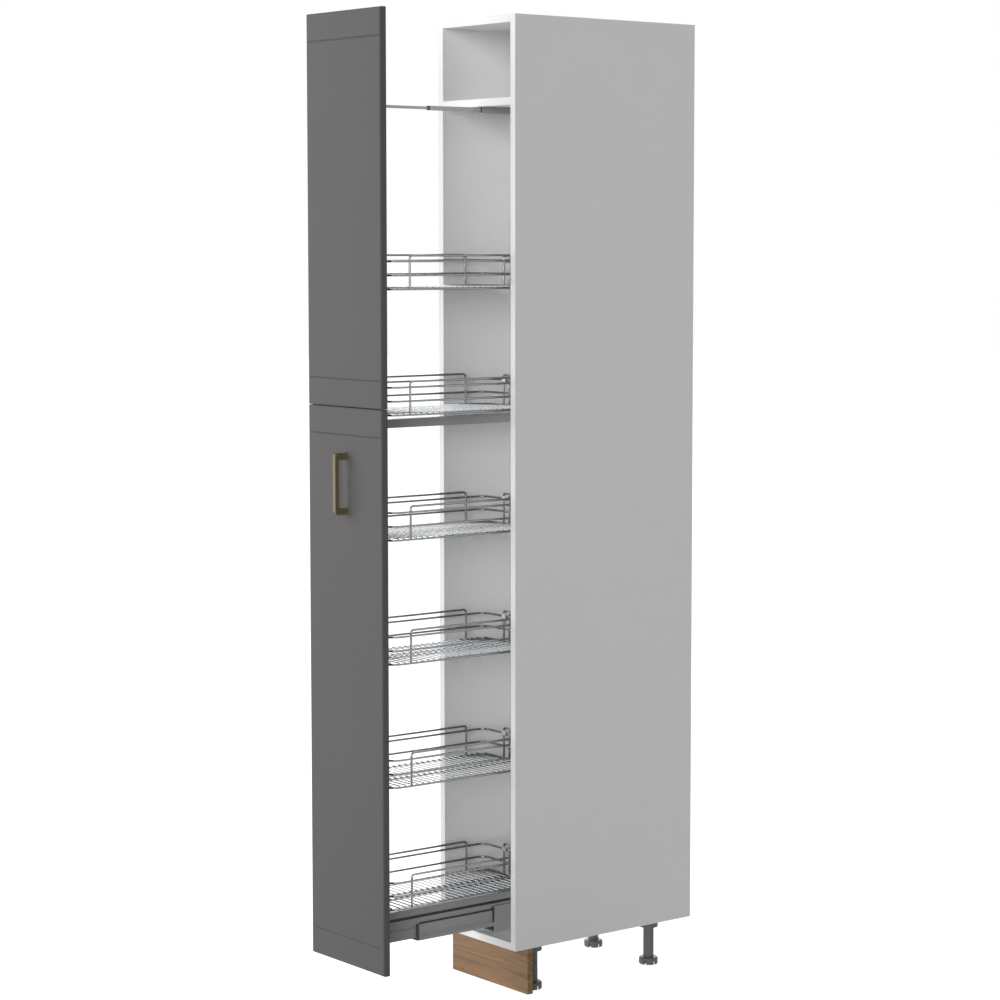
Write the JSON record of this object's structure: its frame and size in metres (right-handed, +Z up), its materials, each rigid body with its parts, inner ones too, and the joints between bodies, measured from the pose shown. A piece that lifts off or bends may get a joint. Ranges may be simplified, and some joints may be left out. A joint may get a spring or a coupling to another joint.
{
  "type": "tall pull-out kitchen cabinet",
  "caption": "Tall narrow kitchen cabinet with a full-height frame of wire baskets that slides out behind two stacked doors on a ball-bearing runner",
  "frame": {"origin": "on the floor, midway across the width and midway along the depth of the cabinet as drawn out", "axes": "X runs across the front to the right, Y from the doors to the back, Z up"},
  "size_m": [0.3, 0.9746, 2.336],
  "materials": {
    "white_board": "white melamine-coated chipboard and fibreboard, slightly satin",
    "grey_front": "fibreboard door covered with matt grey film",
    "oak_board": "chipboard with an oak decor, satin",
    "beech": "plain fluted beech",
    "grey_steel": "steel with a smooth grey powder coat",
    "zinc_steel": "zinc-plated steel, softly bright",
    "wire_steel": "chrome-plated steel wire",
    "antique_brass": "brushed antique brass",
    "grey_plastic": "moulded dark grey plastic",
    "rubber_stop": "black rubber"
  },
  "bodies": {
    "carcass": {"side_left": "white_board", "side_right": "white_board", "top_panel": "white_board", "bottom_panel": "white_board", "fixed_shelf": "white_board", "back_panel": "white_board", "dowels": "beech", "cam_bolts": "zinc_steel", "cam_discs": "zinc_steel", "wall_angle": "zinc_steel", "wall_angle_screws": "zinc_steel", "plinth_board": "oak_board", "plinth_clips": "grey_plastic", "plinth_clip_screws": "zinc_steel", "leg_flanges": "grey_plastic", "leg_flange_screws": "zinc_steel", "leg_columns": "grey_plastic", "runner_housing": "grey_steel", "runner_housing_screws": "zinc_steel", "runner_end_stop": "rubber_stop", "guide_bracket": "grey_steel", "guide_bracket_screws": "zinc_steel", "guide_rail": "grey_steel"},
    "pullout": {"runner_inner": "grey_steel", "guide_inner": "grey_steel", "guide_post": "grey_steel", "front_upright": "grey_steel", "rear_upright": "grey_steel", "middle_bar": "grey_steel", "bottom_bar": "grey_steel", "bar_end_plugs": "grey_plastic", "frame_bolts": "zinc_steel", "runner_spacers": "zinc_steel", "runner_nuts": "zinc_steel", "upright_caps": "grey_plastic", "door_brackets": "zinc_steel", "bracket_bolts": "zinc_steel", "door_screws": "zinc_steel", "basket_hooks": "zinc_steel", "hook_screws": "zinc_steel", "door_upper": "grey_front", "door_lower": "grey_front", "handle": "antique_brass", "handle_screws": "zinc_steel"},
    "runner_slider": {"runner_middle": "grey_steel"},
    "guide_slider": {"guide_middle": "grey_steel"},
    "outer_cages": {"runner_outer_cages": "grey_plastic", "runner_outer_balls": "zinc_steel"},
    "inner_cages": {"runner_inner_cages": "grey_plastic", "runner_inner_balls": "zinc_steel"},
    "wire_basket_1": {"basket_1": "wire_steel"},
    "wire_basket_2": {"basket_2": "wire_steel"},
    "wire_basket_3": {"basket_3": "wire_steel"},
    "wire_basket_4": {"basket_4": "wire_steel"},
    "wire_basket_5": {"basket_5": "wire_steel"},
    "wire_basket_6": {"basket_6": "wire_steel"},
    "foot_front_left_body": {"foot_front_left": "grey_plastic"},
    "foot_front_right_body": {"foot_front_right": "grey_plastic"},
    "foot_rear_left_body": {"foot_rear_left": "grey_plastic"},
    "foot_rear_right_body": {"foot_rear_right": "grey_plastic"}
  },
  "joints": [
    {"name": "pull_out", "type": "slide", "parent": "carcass", "child": "pullout", "axis": [0, 1, 0], "range_m": [0, 0.365]},
    {"name": "runner_middle_slide", "type": "slide", "parent": "carcass", "child": "runner_slider", "axis": [0, 1, 0], "range_m": [0, 0.219]},
    {"name": "guide_middle_slide", "type": "slide", "parent": "carcass", "child": "guide_slider", "axis": [0, 1, 0], "range_m": [0, 0.1825]},
    {"name": "outer_cage_slide", "type": "slide", "parent": "carcass", "child": "outer_cages", "axis": [0, 1, 0], "range_m": [0, 0.1095]},
    {"name": "inner_cage_slide", "type": "slide", "parent": "carcass", "child": "inner_cages", "axis": [0, 1, 0], "range_m": [0, 0.292]},
    {"name": "basket_1_lift", "type": "slide", "parent": "pullout", "child": "wire_basket_1", "axis": [0, 0, 1], "range_m": [0, 0.02]},
    {"name": "basket_2_lift", "type": "slide", "parent": "pullout", "child": "wire_basket_2", "axis": [0, 0, 1], "range_m": [0, 0.02]},
    {"name": "basket_3_lift", "type": "slide", "parent": "pullout", "child": "wire_basket_3", "axis": [0, 0, 1], "range_m": [0, 0.02]},
    {"name": "basket_4_lift", "type": "slide", "parent": "pullout", "child": "wire_basket_4", "axis": [0, 0, 1], "range_m": [0, 0.02]},
    {"name": "basket_5_lift", "type": "slide", "parent": "pullout", "child": "wire_basket_5", "axis": [0, 0, 1], "range_m": [0, 0.02]},
    {"name": "basket_6_lift", "type": "slide", "parent": "pullout", "child": "wire_basket_6", "axis": [0, 0, 1], "range_m": [0, 0.02]},
    {"name": "foot_front_left_turn", "type": "hinge", "parent": "carcass", "child": "foot_front_left_body", "pos_m": [-0.108, 0.01175, 0.0115], "axis": [0, 0, 1], "continuous": true},
    {"name": "foot_front_right_turn", "type": "hinge", "parent": "carcass", "child": "foot_front_right_body", "pos_m": [0.108, 0.01175, 0.0115], "axis": [0, 0, 1], "continuous": true},
    {"name": "foot_rear_left_turn", "type": "hinge", "parent": "carcass", "child": "foot_rear_left_body", "pos_m": [-0.108, 0.38525, 0.0115], "axis": [0, 0, 1], "continuous": true},
    {"name": "foot_rear_right_turn", "type": "hinge", "parent": "carcass", "child": "foot_rear_right_body", "pos_m": [0.108, 0.38525, 0.0115], "axis": [0, 0, 1], "continuous": true}
  ],
  "couplings": [
    {"joint": "runner_middle_slide", "follows": "pull_out", "ratio": 0.6},
    {"joint": "guide_middle_slide", "follows": "pull_out", "ratio": 0.5},
    {"joint": "outer_cage_slide", "follows": "pull_out", "ratio": 0.3},
    {"joint": "inner_cage_slide", "follows": "pull_out", "ratio": 0.8}
  ]
}
